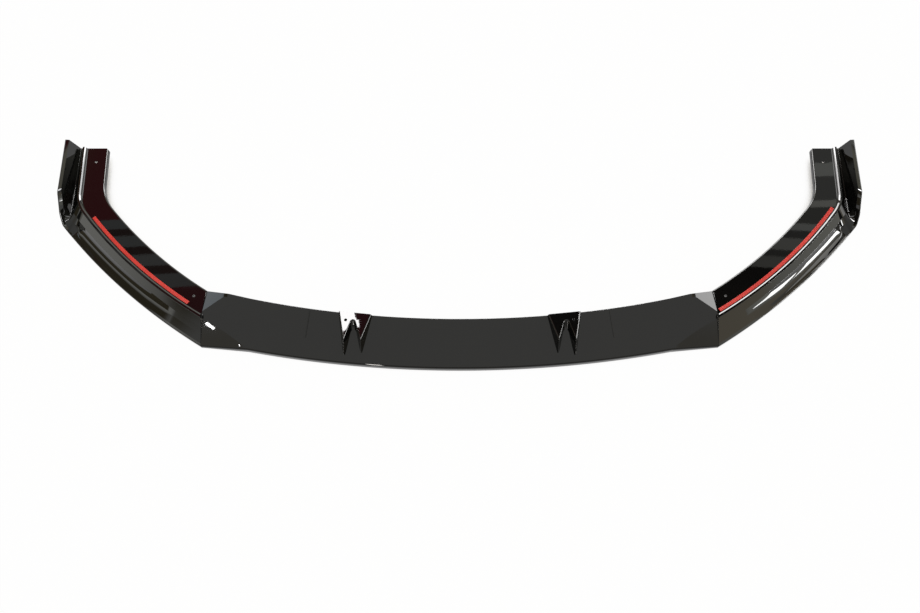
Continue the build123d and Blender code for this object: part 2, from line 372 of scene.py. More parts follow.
drillSize = {
    "radius": 2.5,
    "brokenEdge": 0.6,
    "clear": 0.2,             # how far the broken edge runs on above the face
    "sides": 40,
    "low": -20.0,
    "high": 90.0,
}
sleeveSize = {"radius": 4.5, "low": 22.0, "intoTop": 1.5}  # under the boss top, round the screw


def circle(x, y, z, radius):
    turns = [2 * math.pi * i / drillSize["sides"] for i in range(drillSize["sides"])]
    return [(x + radius * math.cos(turn), y + radius * math.sin(turn), z) for turn in turns]


def holeAt(name, x, y, top):
    # drilled right through, with the upper edge broken
    radius, broken, clear = drillSize["radius"], drillSize["brokenEdge"], drillSize["clear"]
    wide = radius + broken + clear
    stations = [
        (drillSize["low"], radius),
        (top - broken, radius),
        (top + clear, wide),
        (drillSize["high"], wide),
    ]
    return prism(name, [circle(x, y, z, reach) for z, reach in stations])


def sleeveAt(name, x, y, top):
    heights = (sleeveSize["low"], top - sleeveSize["intoTop"])
    return prism(name, [circle(x, y, z, sleeveSize["radius"]) for z in heights])


def mountHoles(name):
    # the two places of a mount of the record, in millimetres
    mount = next(mount for mount in frame["record"]["mounts"] if mount["name"] == name)
    x = mount["dims"]["spacing_x_mm"] / 2
    y = (mount["pos_m"][1] - frontEdge) / mm
    return [(-x, y), (x, y)]


# Wings

wingSize = {
    "seamX": 528.25,          # with a hairline joint to the panel
    "seamOuterAt": 31.0,      # where the section at the seam ends on the outer edge
    "wall": 3.0,
    "flangeWidth": 48.0,
    "flangeTop": 29.0,
    "flangeReturn": 10.0,
    "innerBend": 120.0,       # radius of the flange's inner edge in the bend
    "ribWidth": 7.0,
    "ribHeight": 6.0,
    "ribBevel": (2.6, 1.7),   # how far in and down, at the rib's inner top edge
    "root": 4.0,              # from the rib to the shoulder
    "browPlace": 0.62,        # share of the way from the shoulder to the fold
    "scoopStart": 0.15,       # share of the way to the full scoop that stays plain
    "coves": (38.0, 2.0),     # radius of the fold along the blade, and in the channel
    "coveLead": 25.0,         # how far before the full scoop the fold starts to tighten
    "leastSlant": 0.3,        # cosine between the section and the rib's square
    "meetGap": 0.6,           # between the two points where skin and flange meet below
    "softness": 1.8,          # smoothing along the wing where facets meet
    "softWeights": (1, 2, 3, 2, 1),
    "pastRear": 20.0,         # made longer, then trimmed
}
wingEdges = {                 # radius and steps of the roundings
    "low": (0.5, 2),
    "lip": (3.0, 5),
    "ribFoot": (0.8, 2),
    "ribBevel": (0.5, 3),
    "ribOuter": (0.4, 3),
    "crisp": (0, 2),
    "fold": (14, 0.8),        # steps, and share of its edges
    "outer": (3.0, 6),
}
wingSteps = {                 # between sections along the rib
    "blade": 5.0,
    "fine": 1.0,              # where the scoop starts, and from the full scoop to the fin
    "fin": 6.0,
    "beforeSeam": 45.0,       # made longer, then trimmed
    "aroundStart": 4.0,       # reach of the fine ones
    "aroundFine": 6.0,
}
ribRail = {
    "start": (528.0, 111.0),  # at the seam
    "heading": 30.5,          # degrees there
    "radius": 1170.0,         # of the long arc
    "length": 384.0,
    "bend": 95.0,             # radius of the bend after it
    "tail": 82.0,             # heading of the straight end
}
outerRail = {
    "start": (528.0, 49.5),
    "heading": 30.6,
    "radius": 1560.0,
    "length": 431.5,
    "bend": 22.0,
    "tail": 82.9,
}
# shoulder, brow rise, fold from the rim, fold height, rim from the edge, rim height, edge height
wingSkins = {
    "seam": (31.0, 0.0, 15.0, 17.2, 5.0, 10.0, 7.0),
    "scoop": (33.5, 6.5, 17.0, 8.5, 5.0, 8.0, 7.0),
    "ridge": (33.5, 0.0, 17.0, 18.5, 6.0, 12.0, 9.0),
    "corner": (33.25, 0.0, 12.15, 24.0, 7.5, 22.5, 27.5),
    "finFoot": (33.0, 0.0, 7.3, 17.0, 9.0, 33.0, 46.0),
    "finFront": (32.5, 0.0, 7.7, 21.0, 10.5, 59.0, 61.0),
    "finRear": (33.5, 0.0, 11.5, 29.5, 10.5, 60.0, 61.0),
}
# where they lie, along the rib and the outer edge from the start of their bends
wingPlaces = {
    "scoop": (-6, -16),
    "ridge": (13, -4),
    "corner": (28, 9),
    "finFoot": (44, 28),
    "finFront": (71, 72),
}


def onRail(rail, along):
    # plan point and heading at a distance from the seam
    x, y = rail["start"]
    heading = math.radians(rail["heading"])
    sweep = rail["length"] / rail["radius"]
    turn = math.radians(rail["tail"]) - heading - sweep
    for radius, angle in ((rail["radius"], sweep), (rail["bend"], turn)):
        step = min(along, radius * angle)
        later = heading + step / radius
        x += radius * (math.sin(later) - math.sin(heading))
        y += radius * (math.cos(heading) - math.cos(later))
        heading = later
        along -= step
    return Vector((x + along * math.cos(heading), y + along * math.sin(heading), 0)), heading


def bendEnd(rail):
    turn = math.radians(rail["tail"] - rail["heading"]) - rail["length"] / rail["radius"]
    return rail["length"] + rail["bend"] * turn


def railEnd(rail):
    pastRear = (rearEnd - frontEdge) / mm + wingSize["pastRear"]
    bent = bendEnd(rail)
    return bent + (pastRear - onRail(rail, bent)[0].y) / math.sin(math.radians(rail["tail"]))


def inwards(heading):
    return Vector((-math.sin(heading), math.cos(heading), 0))


def innerEdgeRail():
    # runs beside the rib at the flange's width, with a wider bend of its own
    toSeam = -inwards(math.radians(ribRail["heading"]))
    width, bend = wingSize["flangeWidth"], wingSize["innerBend"]
    radius = ribRail["radius"] - width
    start = Vector((*ribRail["start"], 0)) - toSeam * width
    centre = start - toSeam * radius
    end, heading = onRail(ribRail, railEnd(ribRail))
    tail = Vector((math.cos(heading), math.sin(heading), 0))
    beside = end + inwards(heading) * (width + bend) - centre
    reach = radius - bend
    back = beside.dot(tail) + math.sqrt(beside.dot(tail) ** 2 - beside.length_squared + reach ** 2)
    turned = toSeam.angle(beside - tail * back)
    return {**ribRail, "start": start[:2], "radius": radius, "length": turned * radius, "bend": bend}


innerRail = innerEdgeRail()


def skinPoints(skin, ribAt, outerAt):
    # corners of the skin in the upright plane from the rib to the outer edge, outer side first
    shoulderZ, browRise, foldIn, foldZ, rimIn, rimZ, edgeZ = skin
    start, heading = onRail(ribRail, ribAt)
    reach = onRail(outerRail, outerAt)[0] - start
    width = reach.length
    slant = max(reach.normalized().dot(-inwards(heading)), wingSize["leastSlant"])
    wallX = wingSize["ribWidth"] / slant
    shoulder = Vector((wingSize["root"], shoulderZ))
    rim = Vector((width - rimIn, rimZ))
    edge = Vector((width, edgeZ))
    fold = Vector((rim.x - foldIn, foldZ))
    brow = shoulder.lerp(fold, wingSize["browPlace"]) + Vector((0, browRise))
    outer = [shoulder, brow, fold, rim, edge, Vector((width, 0))]
    ways = [(b - a).normalized() for a, b in zip(outer, outer[1:])]
    inwardWays = [Vector((way.y, -way.x)) for way in ways]
    inner = [shoulder + inwardWays[0] * wingSize["wall"]]
    for point, a, b in zip(outer[1:], inwardWays, inwardWays[1:]):
        inner.append(point + (a + b) * (wingSize["wall"] / (1 + a.dot(b))))
    inner.append(outer[-1] + inwardWays[-1] * wingSize["wall"])
    low = wingSize["flangeTop"] - wingSize["wall"]
    fall = (inner[1].y - inner[0].y) / (inner[1].x - inner[0].x)
    meetX = min(inner[0].x + (low - inner[0].y) / fall, wallX)
    nextX = meetX + wingSize["meetGap"]
    meets = [Vector((nextX, inner[0].y + fall * (nextX - inner[0].x))), Vector((meetX, low))]
    wallMeet = shoulder.lerp(brow, (wallX - shoulder.x) / (brow.x - shoulder.x))
    flat = [wallMeet] + outer[1:] + inner[:0:-1] + meets
    way = reach.normalized()
    return [start + way * point.x + up * point.y for point in flat]


def wingKeys():
    ribBend, outerBend = ribRail["length"], outerRail["length"]
    keys = [(name, ribBend + a, outerBend + b) for name, (a, b) in wingPlaces.items()]
    return keys + [("finRear", railEnd(ribRail), railEnd(outerRail))]


def skinAt(along, keys):
    # corners of the skin at a distance along the rib
    scoopRib, scoopOuter = keys[0][1:]
    if along <= scoopRib:
        share = along / scoopRib
        rest = min((1 - share) / (1 - wingSize["scoopStart"]), 1)
        growth = 1 - rest ** 3  # quick at first
        skin = [a + (b - a) * growth for a, b in zip(wingSkins["seam"], wingSkins["scoop"])]
        seamOuter = wingSize["seamOuterAt"]
        return skinPoints(skin, along, seamOuter + (scoopOuter - seamOuter) * share)
    i = next((i for i in range(len(keys) - 2) if along < keys[i + 1][1]), len(keys) - 2)
    (nameA, ribA, outerA), (nameB, ribB, outerB) = keys[i], keys[i + 1]
    share = (along - ribA) / (ribB - ribA)
    first = skinPoints(wingSkins[nameA], ribA, outerA)
    second = skinPoints(wingSkins[nameB], ribB, outerB)
    return [a.lerp(b, share) for a, b in zip(first, second)]


def softSkin(along, keys):
    # mean of the skins a little before and after, so that facets meet softly
    weights = wingSize["softWeights"]
    middle = len(weights) // 2
    samples = [skinAt(along + wingSize["softness"] * (i - middle), keys) for i in range(len(weights))]
    skin = []
    for points in zip(*samples):
        total = sum((point * weight for point, weight in zip(points, weights)), Vector((0, 0, 0)))
        skin.append(total / sum(weights))
    return skin


def wingRing(along, keys):
    skin = softSkin(along, keys)
    rib, heading = onRail(ribRail, along)
    out = -inwards(heading)
    stops = (0.0, ribRail["length"], bendEnd(ribRail), railEnd(ribRail))
    innerStops = (0.0, innerRail["length"], bendEnd(innerRail), railEnd(innerRail))
    lip, lipHeading = onRail(innerRail, between(along, stops, innerStops))
    lipIn = lip - inwards(lipHeading) * wingSize["wall"]
    top = wingSize["flangeTop"]
    ribTop = top + wingSize["ribHeight"]
    low = top - wingSize["wall"]
    foot = top - wingSize["flangeReturn"]
    ribOut = rib + out * wingSize["ribWidth"]
    bevelIn, bevelDrop = wingSize["ribBevel"]
    coveStops = (keys[0][1] - wingSize["coveLead"], keys[1][1])
    cove = between(min(max(along, coveStops[0]), coveStops[1]), coveStops, wingSize["coves"])
    edges = wingEdges
    return roundedRing([
        (lip + up * foot, *edges["low"]),
        (lip + up * top, *edges["lip"]),
        (rib + up * top, *edges["ribFoot"]),
        (rib + up * (ribTop - bevelDrop), *edges["ribBevel"]),
        (rib + out * bevelIn + up * ribTop, *edges["ribBevel"]),
        (ribOut + up * ribTop, *edges["ribOuter"]),
        (ribOut + up * skin[0].z, *edges["crisp"]),      # where the blade meets the rib
        (skin[1], *edges["crisp"]),                      # brow
        (skin[2], cove, *edges["fold"]),
        (skin[3], *edges["crisp"]),                      # rim
        (skin[4], *edges["outer"]),
        (skin[5], *edges["low"]),
        (skin[6], *edges["low"]),
        *[(point, 0, 0) for point in skin[7:]],          # inner side
        (lipIn + up * low, *edges["ribFoot"]),
        (lipIn + up * foot, *edges["low"]),
    ])


flangeCorner = {              # at the rear of the flange's inner edge
    "radius": 5.0,
    "steps": 8,
    "clear": 0.03,            # cuts that much past the faces
    "heights": (8.0, 36.0),
}


def flangeCornerCut(side):
    # what the rounding takes off the corner
    end, heading = onRail(innerRail, railEnd(innerRail))
    tail = Vector((math.cos(heading), math.sin(heading), 0))
    radius, clear = flangeCorner["radius"], flangeCorner["clear"]
    corner = end - tail * (wingSize["pastRear"] / tail.y) + Vector((-clear, clear, 0))
    ahead = corner - tail * radius * 2
    beside = corner + Vector((radius * 2, 0, 0))
    outside = [
        beside + Vector((0, radius, 0)),
        corner + Vector((-radius, radius, 0)),
        ahead - Vector((radius, 0, 0)),
    ]
    corners = [(ahead, 0, 0), (corner, radius, flangeCorner["steps"]), (beside, 0, 0)]
    plan = roundedRing(corners + [(spot, 0, 0) for spot in outside])
    return upright("corner_cut", plan, flangeCorner["heights"], side)


def wingStations(keys):
    scoopEnd, finFront, rear = keys[0][1], keys[-2][1], keys[-1][1]
    scoopStart = wingSize["scoopStart"] * scoopEnd
    around, blade, fine = wingSteps["aroundStart"], wingSteps["blade"], wingSteps["fine"]
    fineStart = scoopEnd - wingSteps["aroundFine"]
    fineEnd = finFront + wingSteps["aroundFine"]
    places = steps(-wingSteps["beforeSeam"], scoopStart - around, blade)
    places += steps(scoopStart - around, scoopStart + around, fine)
    places += steps(scoopStart + around, fineStart, blade)
    places += steps(fineStart, fineEnd, fine)
    return places + steps(fineEnd, rear, wingSteps["fin"])


def makeWing(node, side):
    keys = wingKeys()
    rings = [wingRing(along, keys) for along in wingStations(keys)]
    seam = toFrame(wingSize["seamX"], 0, 0, side)
    cuts = [(seam, (-side, 0, 0)), ((0, rearEnd, 0), (0, 1, 0))]
    wing = meshFromRings(node + "_shell", rings, cuts, side)
    tools = [(flangeCornerCut(side), "DIFFERENCE")]
    for name in ("seam_holes", "tail_holes"):
        spot = next(spot for spot in mountHoles(name) if spot[0] * side > 0)
        tools.append((holeAt("drill", *spot, wingSize["flangeTop"]), "DIFFERENCE"))
    carve(wing, tools)
    finishPiece(wing, node, black)


for side, node in ((1, "right_wing"), (-1, "left_wing")):
    makeWing(node, side)


# Centre panel

panelSize = {
    "depth": 97.0,
    "frontRadius": 2330.0,
    "rearRadius": 2060.0,
    "frontHeight": 13.0,
    "rearHeight": 40.0,
    "rearReturn": 18.0,
    "wall": 3.0,
    "seamX": 528.0,
    "joint": 0.25,            # half of the hairline joint to each wing
    "corner": (430.0, 49.5, 7.0),      # where the front facet starts, its y and height at the seam
    "frontCreaseY": 104.0,
    "dip": (475.0, 26.0),              # where the rear facet starts, its height at the seam
    "rearCreaseY": 118.0,
    "plainCreases": (10.0, 8.0),       # from the front and rear edges, where there is no facet
    "sectionGaps": (10.0, 4.0),        # in the middle, and over the facets
    "nose": (5.0, 7),                  # radius and steps of the roundings
    "crease": (2.5, 3),
    "heel": (0.7, 5),
    "low": (0.5, 2),
}
bossSize = {
    "x": 211.5,
    "rise": 6.5,
    "halfWidth": 33.0,
    "forkLean": 3.0,
    "halfSpread": 17.0,
    "prongY": 48.0,
    "notchY": 105.5,
    "notchLand": 1.5,         # left behind the notch at least
    "notch": (6.0, 8),        # radius and steps of the roundings in plan
    "prong": (0.9, 4),
    "rearCorner": (0.6, 2),
    "draft": 14.0,
    "topRadius": 2.4,
    "topSteps": 4,
    "slack": 0.1,
    "setBack": 0.6,
    "rearWall": 4.0,
    "low": 23.0,
    "hollowLow": 8.0,
}
strakeSize = {
    "x": 305.0,
    "splay": 7.0,
    "frontY": 63.0,
    "inset": 4.0,
    "width": 2.2,
    "topShare": 0.8,          # of that width
    "height": 1.2,
    "sunk": 1.5,
    "edge": (0.5, 2),         # radius and steps
    "sections": 8,
}
tongueSize = {
    "thickness": 3.0,
    "width": 20.0,
    "root": 21.0,
    "holeAt": 42.0,
    "clearance": 0.05,
    "pastSeam": 1.0,          # from the seam to the root
    "tipSteps": 16,
    "rootShrink": 0.02,       # share by which the root is smaller than the plate
    "rootBite": 0.5,          # into the plate
    "skinBite": 1.5,          # into the panel's skin
}


def planeHeight(a, b, c):
    # height over the plan of the plane through three points
    normal = (Vector(b) - Vector(a)).cross(Vector(c) - Vector(a))
    return lambda x, y: a[2] - (normal.x * (x - a[0]) + normal.y * (y - a[1])) / normal.z


def rearArc(x):
    return panelSize["depth"] + panelSize["rearRadius"] - math.sqrt(panelSize["rearRadius"] ** 2 - x * x)


def frontArc(x):
    return panelSize["frontRadius"] - math.sqrt(panelSize["frontRadius"] ** 2 - x * x)


def frontY(x):
    cornerX, cornerY = panelSize["corner"][:2]
    stops = (cornerX, panelSize["seamX"])
    x = abs(x)
    return frontArc(x) if x <= cornerX else between(x, stops, (frontArc(cornerX), cornerY))


def rearY(x):
    stops = (panelSize["corner"][0], panelSize["seamX"])
    x = abs(x)
    return rearArc(x) if x <= stops[0] else between(x, stops, [rearArc(stop) for stop in stops])


def slopeHeight(x, y):
    return between(y, (frontY(x), rearY(x)), (panelSize["frontHeight"], panelSize["rearHeight"]))


def panelFacets():
    seam = panelSize["seamX"]
    cornerX, cornerY, cornerZ = panelSize["corner"]
    dipX, dipZ = panelSize["dip"]
    creaseFront, creaseRear = panelSize["frontCreaseY"], panelSize["rearCreaseY"]
    front = planeHeight(
        (cornerX, frontY(cornerX), panelSize["frontHeight"]),
        (seam, creaseFront, slopeHeight(seam, creaseFront)),
        (seam, cornerY, cornerZ))
    rear = planeHeight(
        (dipX, rearArc(dipX), panelSize["rearHeight"]),
        (seam, creaseRear, slopeHeight(seam, creaseRear)),
        (seam, rearY(seam), dipZ))
    return front, rear


frontFacet, rearFacet = panelFacets()


def panelHeight(x, y):
    x = abs(x)
    heights = [slopeHeight(x, y)]
    if x > panelSize["corner"][0]:
        heights.append(frontFacet(x, y))
    if x > panelSize["dip"][0]:
        heights.append(rearFacet(x, y))
    return min(heights)


def creaseY(x, facet):
    # where a facet's plane crosses the main slope, from their heights at the middle's front and rear
    depth = panelSize["depth"]
    first = facet(x, 0) - slopeHeight(x, 0)
    second = facet(x, depth) - slopeHeight(x, depth)
    return depth * first / (first - second)


def panelRing(x):
    side = abs(x)
    front, rear = frontY(x), rearY(x)
    frontCrease = front + panelSize["plainCreases"][0]
    rearCrease = rear - panelSize["plainCreases"][1]
    if side > panelSize["corner"][0]:
        frontCrease = max(frontCrease, creaseY(side, frontFacet))
    if side > panelSize["dip"][0]:
        rearCrease = min(rearCrease, creaseY(side, rearFacet))
    wall = panelSize["wall"]
    low = panelSize["rearHeight"] - panelSize["rearReturn"]

    def top(y, drop=0.0):
        return Vector((x, y, panelHeight(x, y) - drop))

    return roundedRing([
        (Vector((x, front, 0)), *panelSize["low"]),
        (top(front), *panelSize["nose"]),
        (top(frontCrease), *panelSize["crease"]),
        (top(rearCrease), *panelSize["crease"]),
        (top(rear), *panelSize["heel"]),
        (Vector((x, rear, low)), *panelSize["low"]),
        (Vector((x, rear - wall, low)), 0, 0),
        (top(rear - wall, wall), 0, 0),
        (top(rearCrease, wall), 0, 0),
        (top(frontCrease, wall), 0, 0),
        (top(front + wall, wall), 0, 0),
        (Vector((x, front + wall, 0)), 0, 0),
    ])


def bossOutline(side, offset, setBack, z):
    # forked outline grown by an offset, except along the rear edge
    x, half = bossSize["x"], bossSize["halfWidth"]
    fork = x + bossSize["forkLean"]
    spread = bossSize["halfSpread"]
    path = [
        Vector((x - half, rearArc(x - half))),
        Vector((fork - spread, bossSize["prongY"])),
        Vector((fork, bossSize["notchY"])),
        Vector((fork + spread, bossSize["prongY"])),
        Vector((x + half, rearArc(x + half))),
    ]
    lines = []
    for a, b in zip(path, path[1:]):
        way = (b - a).normalized()
        lines.append((a + Vector((-way.y, way.x)) * -offset, way))
    rearWay = (path[-1] - path[0]).normalized()
    lines.append((path[0] + Vector((rearWay.y, -rearWay.x)) * setBack, rearWay))
    corners = []
    for (a, wayA), (b, wayB) in zip([lines[-1]] + lines[:-1], lines):
        across = wayA.x * wayB.y - wayA.y * wayB.x
        gap = b - a
        corners.append(a + wayA * ((gap.x * wayB.y - gap.y * wayB.x) / across))
    corners[2].y = min(corners[2].y, rearArc(x) - setBack - bossSize["notchLand"])
    prong, rearCorner = bossSize["prong"], bossSize["rearCorner"]
    notch, notchSteps = bossSize["notch"]
    if offset <= -bossSize["topRadius"] - bossSize["slack"]:
        notch = prong[0]  # no room for the wide notch in the hollow's roof
    roundings = (rearCorner, prong, (notch, notchSteps), prong, rearCorner)
    ring = roundedRing([
        (Vector((corner.x, corner.y, z)), *rounding)
        for corner, rounding in zip(corners, roundings)
    ])
    return [Vector((side * point.x, point.y, point.z)) for point in ring]


def makeBoss(name, side, inset=0.0):
    # the boss, or with an inset the hollow below it
    top = panelSize["rearHeight"] + bossSize["rise"] - inset
    lean = math.tan(math.radians(bossSize["draft"]))
    radius, count = bossSize["topRadius"], bossSize["topSteps"]
    setBack = bossSize["setBack"] + (bossSize["rearWall"] if inset else 0.0)
    outlines = []
    for step in range(count + 1):
        turn = math.radians(90 - bossSize["draft"]) * step / count
        drop = radius * (1 - math.cos(turn))
        offset = drop * lean - inset - radius * (1 - math.sin(turn))
        outlines.append(bossOutline(side, offset, setBack, top - drop))
    low = bossSize["hollowLow"] if inset else bossSize["low"]
    outlines.append(bossOutline(side, (top - low) * lean - inset, setBack, low))
    return prism(name, outlines)


def makeStrake(name, side):
    start = Vector((strakeSize["x"], rearY(strakeSize["x"]) - strakeSize["inset"]))
    end = Vector((strakeSize["x"] + strakeSize["splay"], strakeSize["frontY"]))
    way = (end - start).normalized()
    half = Vector((-way.y, way.x)) * strakeSize["width"] / 2
    share, height, sunk = strakeSize["topShare"], strakeSize["height"], strakeSize["sunk"]
    profile = ((1, -sunk), (share, height), (-share, height), (-1, -sunk))
    rings = []
    for step in range(strakeSize["sections"] + 1):
        middle = start.lerp(end, step / strakeSize["sections"])
        corners = []
        for aside, rise in profile:
            spot = middle + half * aside
            point = Vector((spot.x, spot.y, slopeHeight(spot.x, spot.y) + rise))
            corners.append((point, *strakeSize["edge"]))
        rings.append(roundedRing(corners))
    return meshFromRings(name, rings, side=side)


def makeTongue(side):
    # flat tongue under the wing's flange, and its root that reaches up into the panel's skin
    hole = Vector(mountHoles("seam_holes")[1])
    heading = math.radians(ribRail["heading"]) + tongueSize["holeAt"] / ribRail["radius"]
    way = Vector((math.cos(heading), math.sin(heading)))
    beside = Vector((-way.y, way.x)) * tongueSize["width"] / 2
    toSeam = way * (hole.x - panelSize["seamX"] + tongueSize["pastSeam"]) / way.x
    toRoot = toSeam + way * tongueSize["root"] / way.x
    top = wingSize["flangeTop"] - wingSize["wall"] - tongueSize["clearance"]
    low = top - tongueSize["thickness"]
    turns = [math.pi * i / tongueSize["tipSteps"] for i in range(tongueSize["tipSteps"] + 1)]
    tip = [hole + beside * math.cos(turn) + way * beside.length * math.sin(turn) for turn in turns]
    plan = [hole - toRoot + beside] + tip + [hole - toRoot - beside]
    plate = upright("tongue", plan, (low, top), side)
    foot = [hole - toRoot + beside, hole - toSeam + beside, hole - toSeam - beside, hole - toRoot - beside]
    shrink = tongueSize["rootShrink"]
    foot = [spot * (1 - shrink) + (hole - toRoot) * shrink for spot in foot]
    root = prism("tongue_root", [
        [(side * spot.x, spot.y, low + tongueSize["rootBite"]) for spot in foot],
        [(side * spot.x, spot.y, panelHeight(spot.x, spot.y) - tongueSize["skinBite"]) for spot in foot],
    ])
    return [(plate, "UNION"), (root, "UNION")]


def makePanel():
    seam = panelSize["seamX"] - panelSize["joint"]
    cornerX, dipX = panelSize["corner"][0], panelSize["dip"][0]
    wideGap, gap = panelSize["sectionGaps"]
    half = steps(0, cornerX, wideGap) + steps(cornerX, dipX, gap) + steps(dipX, seam, gap) + [seam]
    places = [-x for x in half[:0:-1]] + half
    panel = meshFromRings("centre_panel_shell", [panelRing(x) for x in places])
    tools = []
    for side in (-1, 1):
        tools.append((makeBoss("boss", side), "UNION"))
        tools.append((makeBoss("boss_hollow", side, panelSize["wall"]), "DIFFERENCE"))
        tools.append((makeStrake("strake", side), "UNION"))
        tools += makeTongue(side)
    bossTop = panelSize["rearHeight"] + bossSize["rise"]
    tools += [(sleeveAt("sleeve", *spot, bossTop), "UNION") for spot in mountHoles("boss_holes")]
    for name, top in (("boss_holes", bossTop), ("seam_holes", wingSize["flangeTop"])):
        tools += [(holeAt("drill", *spot, top), "DIFFERENCE") for spot in mountHoles(name)]
    carve(panel, tools)
    finishPiece(panel, "centre_panel", black)


makePanel()


# Adhesive tapes

tapeSet = {
    "width": 7.5 * mm,
    "thickness": 1.2 * mm,
    "edgeRadius": 0.2 * mm,
    "edgeSteps": 3,
    "gap": 2.2,               # bare strip beside the rib
    "right": (9.0, 394.0),    # where each strip starts and ends along the rib
    "left": (41.0, 361.0),
    "pathStep": 8.0,
    "sectionGap": 3 * mm,
    "waver": 0.5 * mm,        # laid by hand
    "waverScale": 9.0,
    "seed": 3.0,
}


def tapeTree():
    tree = bpy.data.node_groups.new("laid_tape", "GeometryNodeTree")
    tree.interface.new_socket("Path", in_out="INPUT", socket_type="NodeSocketGeometry")
    for name in ("Width", "Thickness", "Waver", "Seed"):
        tree.interface.new_socket(name, in_out="INPUT", socket_type="NodeSocketFloat")
    tree.interface.new_socket("Liner", in_out="INPUT", socket_type="NodeSocketMaterial")
    tree.interface.new_socket("Tape", in_out="OUTPUT", socket_type="NodeSocketGeometry")
    wire = Wire(tree)
    path = wire.make("NodeGroupInput")
    given = {out.name: Wire(tree, out) for out in path.socket.node.outputs}
    level = wire.make("GeometryNodeSetCurveNormal", {"mode": "Z_UP"}, Curve=path)
    even = wire.make("GeometryNodeResampleCurve", {"mode": "LENGTH"}, Curve=level,
                     Length=tapeSet["sectionGap"])
    noise = wire.make("ShaderNodeTexNoise", {"noise_dimensions": "4D"}, W=given["Seed"],
                      Scale=tapeSet["waverScale"], Detail=0.0)
    aside = wire.make("ShaderNodeVectorMath", {"operation": "SCALE"},
                      i0=wire.make("GeometryNodeInputNormal"), Scale=(noise - 0.5) * given["Waver"])
    laid = wire.make("GeometryNodeSetPosition", Geometry=even, Offset=aside)
    band = wire.make("GeometryNodeCurvePrimitiveQuadrilateral", Width=given["Width"],
                     Height=given["Thickness"])
    soft = wire.make("GeometryNodeFilletCurve", {"mode": "POLY"}, Curve=band, Count=tapeSet["edgeSteps"],
                     Radius=tapeSet["edgeRadius"])
    strip = wire.make("GeometryNodeCurveToMesh", Curve=laid, Profile_Curve=soft, Fill_Caps=True)
    solid = wire.make("GeometryNodeRealizeInstances", Geometry=strip)
    done = wire.make("GeometryNodeSetMaterial", Geometry=solid, Material=given["Liner"])
    wire.make("NodeGroupOutput", output=None, Tape=done)
    return tree


def makeTape(node, span, side, tree):
    data = bpy.data.curves.new(node + "_path", "CURVE")
    data.dimensions = "3D"
    places = steps(*span, tapeSet["pathStep"]) + [span[1]]
    spline = data.splines.new("POLY")
    spline.points.add(len(places) - 1)
    middle = tapeSet["gap"] + tapeSet["width"] / mm / 2
    for point, along in zip(spline.points, places):
        spot, heading = onRail(ribRail, along)
        spot += inwards(heading) * middle + up * (wingSize["flangeTop"] + tapeSet["thickness"] / mm / 2)
        point.co = (*toFrame(*spot, side), 1.0)
    path = bpy.data.objects.new(node + "_path", data)
    scene.collection.objects.link(path)
    lay = path.modifiers.new("lay", "NODES")
    lay.node_group = tree
    values = {"Width": tapeSet["width"], "Thickness": tapeSet["thickness"], "Waver": tapeSet["waver"],
              "Seed": tapeSet["seed"] + side, "Liner": red}
    for socket in tree.interface.items_tree:
        if socket.name in values:
            lay[socket.identifier] = values[socket.name]
    mesh = bpy.data.meshes.new_from_object(path.evaluated_get(bpy.context.evaluated_depsgraph_get()))
    bpy.data.objects.remove(path)
    tape = bpy.data.objects.new(node + "_strip", mesh)
    scene.collection.objects.link(tape)
    finishPiece(tape, node, red)


layTape = tapeTree()
makeTape("right_adhesive_tape", tapeSet["right"], 1, layTape)
makeTape("left_adhesive_tape", tapeSet["left"], -1, layTape)


# Stage, light and camera

stageSize = {
    "reach": 12.0,
    "paper": (0.93, 0.88, 0.81),
    "roughness": 0.9,
    "specular": 0.1,
    "glow": (1.0, 1.0, 1.0),
    "glowShare": 0.98,
    "shadowReach": 0.10,
    "shadowTones": (0.12, 0.58),       # openness at which the shadow is full, and gone
}


def makeFloor():
    bm = bmesh.new()
    bmesh.ops.create_grid(bm, x_segments=1, y_segments=1, size=stageSize["reach"])
    floor = pieceFrom("floor", bm)
    material, wire, shader = newMaterial("white_paper")
    tree = material.node_tree
    wire.feed(shader.inputs["Base Color"], stageSize["paper"])
    shader.inputs["Roughness"].default_value = stageSize["roughness"]
    shader.inputs["Specular IOR Level"].default_value = stageSize["specular"]
    seen = wire.make("ShaderNodeLightPath")
    glossy = Wire(tree, seen.socket.node.outputs["Is Glossy Ray"])
    openness = wire.make("ShaderNodeAmbientOcclusion", {"samples": 8}, 1, Distance=stageSize["shadowReach"])
    lit = seen * openness.ramp(*stageSize["shadowTones"])
    share = wire.sums("MAXIMUM", lit, glossy) * stageSize["glowShare"]
    glow = wire.make("ShaderNodeEmission", Color=stageSize["glow"], Strength=1.0)
    mixed = wire.make("ShaderNodeMixShader", i0=share, i1=Wire(tree, shader.outputs[0]), i2=glow)
    wire.feed(tree.nodes["Material Output"].inputs["Surface"], mixed)
    floor.data.materials.append(material)


